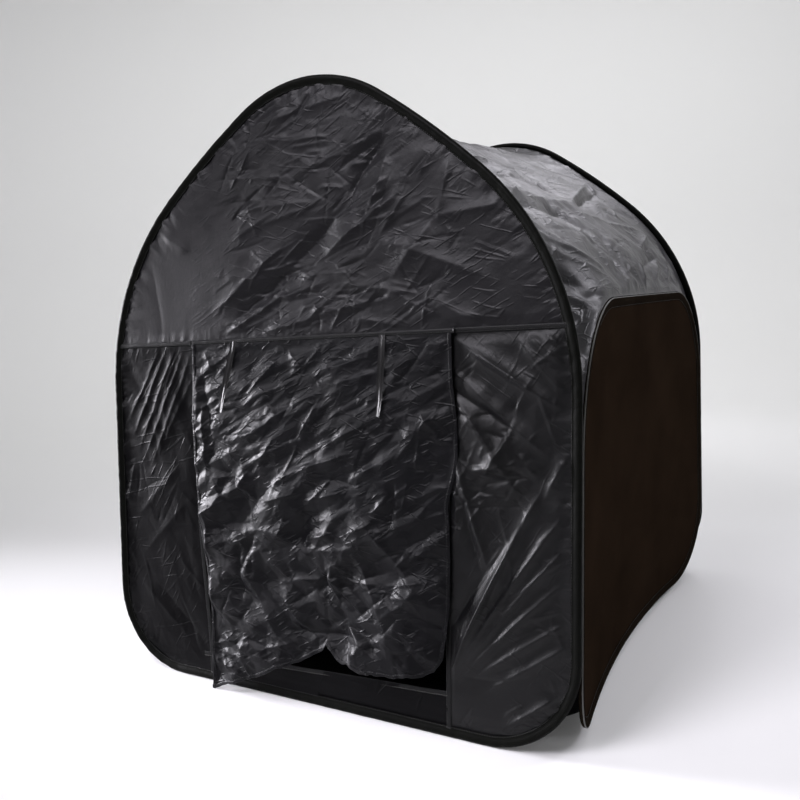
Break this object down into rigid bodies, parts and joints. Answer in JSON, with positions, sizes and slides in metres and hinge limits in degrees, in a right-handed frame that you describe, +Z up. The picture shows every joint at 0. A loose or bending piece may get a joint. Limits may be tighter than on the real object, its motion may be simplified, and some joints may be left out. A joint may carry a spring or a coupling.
{
  "type": "sensory play tent",
  "caption": "Pop-up sensory play tent of black cloth on closed spring hoops, with pointed arch ends, a saddle roof and a cloth door flap with ties.",
  "frame": {"origin": "on the floor, under the middle of the tent", "axes": "+X to the right as seen from in front of the doorway, -Y out of the doorway, +Z up"},
  "size_m": [1.0892, 1.1476, 1.2342],
  "materials": {
    "sleeve_cloth": "satin",
    "front_cloth": "satin",
    "seam_tape": "matte",
    "back_cloth": "satin",
    "side_cloth": "satin",
    "roof_cloth": "satin",
    "floor_cloth": "matte",
    "flap_cloth": "satin",
    "tie_ribbon": "satin"
  },
  "bodies": {
    "tent": {"front_hoop_sleeve": "sleeve_cloth", "back_hoop_sleeve": "sleeve_cloth", "left_hoop_sleeve": "sleeve_cloth", "right_hoop_sleeve": "sleeve_cloth", "front_upper_panel": "front_cloth", "front_left_panel": "front_cloth", "front_right_panel": "front_cloth", "front_sill_panel": "front_cloth", "front_seam_tape": "seam_tape", "sill_top_hem": "seam_tape", "door_binding_left": "seam_tape", "door_binding_right": "seam_tape", "back_upper_panel": "back_cloth", "back_lower_panel": "back_cloth", "back_seam_tape": "seam_tape", "left_side_panel": "side_cloth", "right_side_panel": "side_cloth", "roof_crown_panel": "roof_cloth", "roof_slope_left": "roof_cloth", "roof_slope_right": "roof_cloth", "roof_eave_left": "roof_cloth", "roof_eave_right": "roof_cloth", "gusset_front_left": "roof_cloth", "gusset_front_right": "roof_cloth", "gusset_back_left": "roof_cloth", "gusset_back_right": "roof_cloth", "corner_seam_front_left": "seam_tape", "corner_seam_front_right": "seam_tape", "corner_seam_back_left": "seam_tape", "corner_seam_back_right": "seam_tape", "floor_sheet": "floor_cloth", "floor_edge_left": "floor_cloth", "floor_edge_right": "floor_cloth"},
    "door_flap": {"door_flap": "flap_cloth", "door_flap_top_hem": "seam_tape", "door_tie_left": "tie_ribbon", "door_tie_right": "tie_ribbon"}
  },
  "joints": [
    {"name": "door_flap_lift", "type": "hinge", "parent": "tent", "child": "door_flap", "pos_m": [0, -0.52922, 0.73738], "axis": [-0.9996, -0.0017, -0.0275], "range_deg": [0, 165]}
  ]
}
